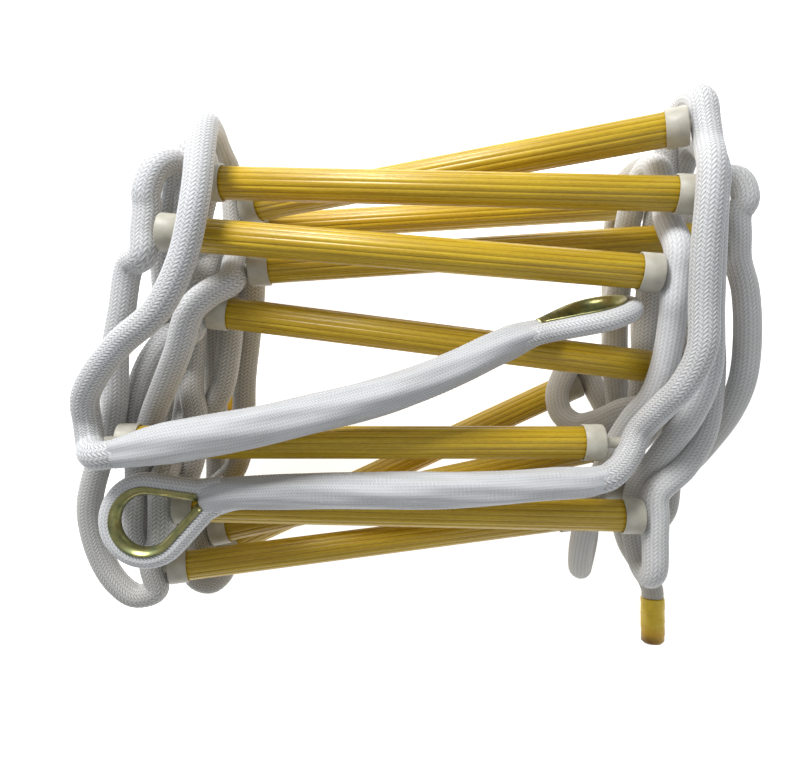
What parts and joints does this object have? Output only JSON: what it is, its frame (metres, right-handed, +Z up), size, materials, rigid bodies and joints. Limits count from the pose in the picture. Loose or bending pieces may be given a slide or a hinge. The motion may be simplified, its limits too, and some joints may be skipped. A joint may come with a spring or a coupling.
{
  "type": "escape rope ladder",
  "caption": "Folded escape rope ladder: fluted yellow tube rungs with nylon end caps between two white braided ropes, each ending in a served eye with a metal thimble.",
  "frame": {"origin": "bottom centre of the folded bundle's bounding box, as it lies on the floor", "axes": "+Z up from the floor, +X along the rungs towards the side where the taped tail lies, +Y square to the rungs, away from the thimble eye that lies flat"},
  "size_m": [0.5228, 0.4492, 0.2161],
  "materials": {
    "glassfibre": "pultruded glass fibre, fluted",
    "nylon": "moulded, slightly translucent",
    "rope": "braided polyester",
    "served": "rope served with thread over the splice",
    "thimble": "yellow passivated",
    "tape": "adhesive tape"
  },
  "bodies": {
    "rope_bundle": {"left_side_rope": "rope", "right_side_rope": "rope", "left_tail_tape": "tape"},
    "upper_leg": {"upper_eye_splice": "served", "upper_eye_loop": "rope", "upper_thimble": "thimble"},
    "lower_leg": {"lower_eye_splice": "served", "lower_eye_loop": "rope", "lower_thimble": "thimble"},
    "rope_tail": {"right_rope_tail": "rope", "right_tail_tape": "tape"},
    "rung_01": {"rung_01_tube": "glassfibre", "rung_01_cap_left": "nylon", "rung_01_cap_right": "nylon"},
    "rung_02": {"rung_02_tube": "glassfibre", "rung_02_cap_left": "nylon", "rung_02_cap_right": "nylon"},
    "rung_03": {"rung_03_tube": "glassfibre", "rung_03_cap_left": "nylon", "rung_03_cap_right": "nylon"},
    "rung_04": {"rung_04_tube": "glassfibre", "rung_04_cap_left": "nylon", "rung_04_cap_right": "nylon"},
    "rung_05": {"rung_05_tube": "glassfibre", "rung_05_cap_left": "nylon", "rung_05_cap_right": "nylon"},
    "rung_06": {"rung_06_tube": "glassfibre", "rung_06_cap_left": "nylon", "rung_06_cap_right": "nylon"},
    "rung_07": {"rung_07_tube": "glassfibre", "rung_07_cap_left": "nylon", "rung_07_cap_right": "nylon"},
    "rung_08": {"rung_08_tube": "glassfibre", "rung_08_cap_left": "nylon", "rung_08_cap_right": "nylon"},
    "rung_09": {"rung_09_tube": "glassfibre", "rung_09_cap_left": "nylon", "rung_09_cap_right": "nylon"},
    "rung_10": {"rung_10_tube": "glassfibre", "rung_10_cap_left": "nylon", "rung_10_cap_right": "nylon"},
    "rung_11": {"rung_11_tube": "glassfibre", "rung_11_cap_left": "nylon", "rung_11_cap_right": "nylon"},
    "rung_12": {"rung_12_tube": "glassfibre", "rung_12_cap_left": "nylon", "rung_12_cap_right": "nylon"}
  },
  "joints": [
    {"name": "rung_01_roll", "type": "hinge", "parent": "rope_bundle", "child": "rung_01", "pos_m": [0.02714, 0.17441, 0.12439], "axis": [0.9447, 0.0809, 0.3178], "range_deg": [-15, 15]},
    {"name": "rung_02_roll", "type": "hinge", "parent": "rope_bundle", "child": "rung_02", "pos_m": [0.02314, 0.14941, 0.16589], "axis": [0.9941, -0.0519, 0.0951], "range_deg": [-15, 15]},
    {"name": "rung_03_roll", "type": "hinge", "parent": "rope_bundle", "child": "rung_03", "pos_m": [-0.00036, 0.10341, 0.17089], "axis": [0.9961, -0.0859, 0.02], "range_deg": [-15, 15]},
    {"name": "rung_04_roll", "type": "hinge", "parent": "rope_bundle", "child": "rung_04", "pos_m": [0.05514, 0.10991, 0.13539], "axis": [0.9978, 0.0661, 0], "range_deg": [-15, 15]},
    {"name": "rung_05_roll", "type": "hinge", "parent": "rope_bundle", "child": "rung_05", "pos_m": [0.04014, 0.16091, 0.04239], "axis": [0.9982, 0.0601, 0], "range_deg": [-15, 15]},
    {"name": "rung_06_roll", "type": "hinge", "parent": "rope_bundle", "child": "rung_06", "pos_m": [0.02414, 0.04541, 0.13189], "axis": [0.9921, -0.1258, 0.0029], "range_deg": [-15, 15]},
    {"name": "rung_07_roll", "type": "hinge", "parent": "rope_bundle", "child": "rung_07", "pos_m": [-0.03336, -0.03009, 0.14939], "axis": [0.9997, -0.0029, -0.0229], "range_deg": [-15, 15]},
    {"name": "rung_08_roll", "type": "hinge", "parent": "rope_bundle", "child": "rung_08", "pos_m": [-0.00786, -0.05909, 0.02639], "axis": [0.9025, 0.4242, 0.074], "range_deg": [-15, 15]},
    {"name": "rung_09_roll", "type": "hinge", "parent": "rope_bundle", "child": "rung_09", "pos_m": [-0.02236, -0.12109, 0.05589], "axis": [0.9824, 0.0937, -0.1618], "range_deg": [-15, 15]},
    {"name": "rung_10_roll", "type": "hinge", "parent": "rope_bundle", "child": "rung_10", "pos_m": [0.00014, -0.08259, 0.13239], "axis": [0.9997, -0.0229, 0], "range_deg": [-15, 15]},
    {"name": "rung_11_roll", "type": "hinge", "parent": "rope_bundle", "child": "rung_11", "pos_m": [0.00164, -0.07659, 0.05139], "axis": [0.9774, 0.2115, 0], "range_deg": [-15, 15]},
    {"name": "rung_12_roll", "type": "hinge", "parent": "rope_bundle", "child": "rung_12", "pos_m": [-0.00136, -0.07409, 0.07939], "axis": [0.9997, 0.0257, 0], "range_deg": [-15, 15]},
    {"name": "upper_leg_lift", "type": "hinge", "parent": "rope_bundle", "child": "upper_leg", "pos_m": [-0.19636, -0.03479, 0.19234], "axis": [0.2841, -0.9472, -0.1485], "range_deg": [0, 45]},
    {"name": "lower_leg_lift", "type": "hinge", "parent": "rope_bundle", "child": "lower_leg", "pos_m": [0.13464, -0.05574, 0.17124], "axis": [-0.03, 0.9996, 0], "range_deg": [0, 45]},
    {"name": "rope_tail_lift", "type": "hinge", "parent": "rope_bundle", "child": "rope_tail", "pos_m": [0.19779, -0.11019, 0.02169], "axis": [-0.97, -0.243, 0], "range_deg": [0, 30]}
  ]
}
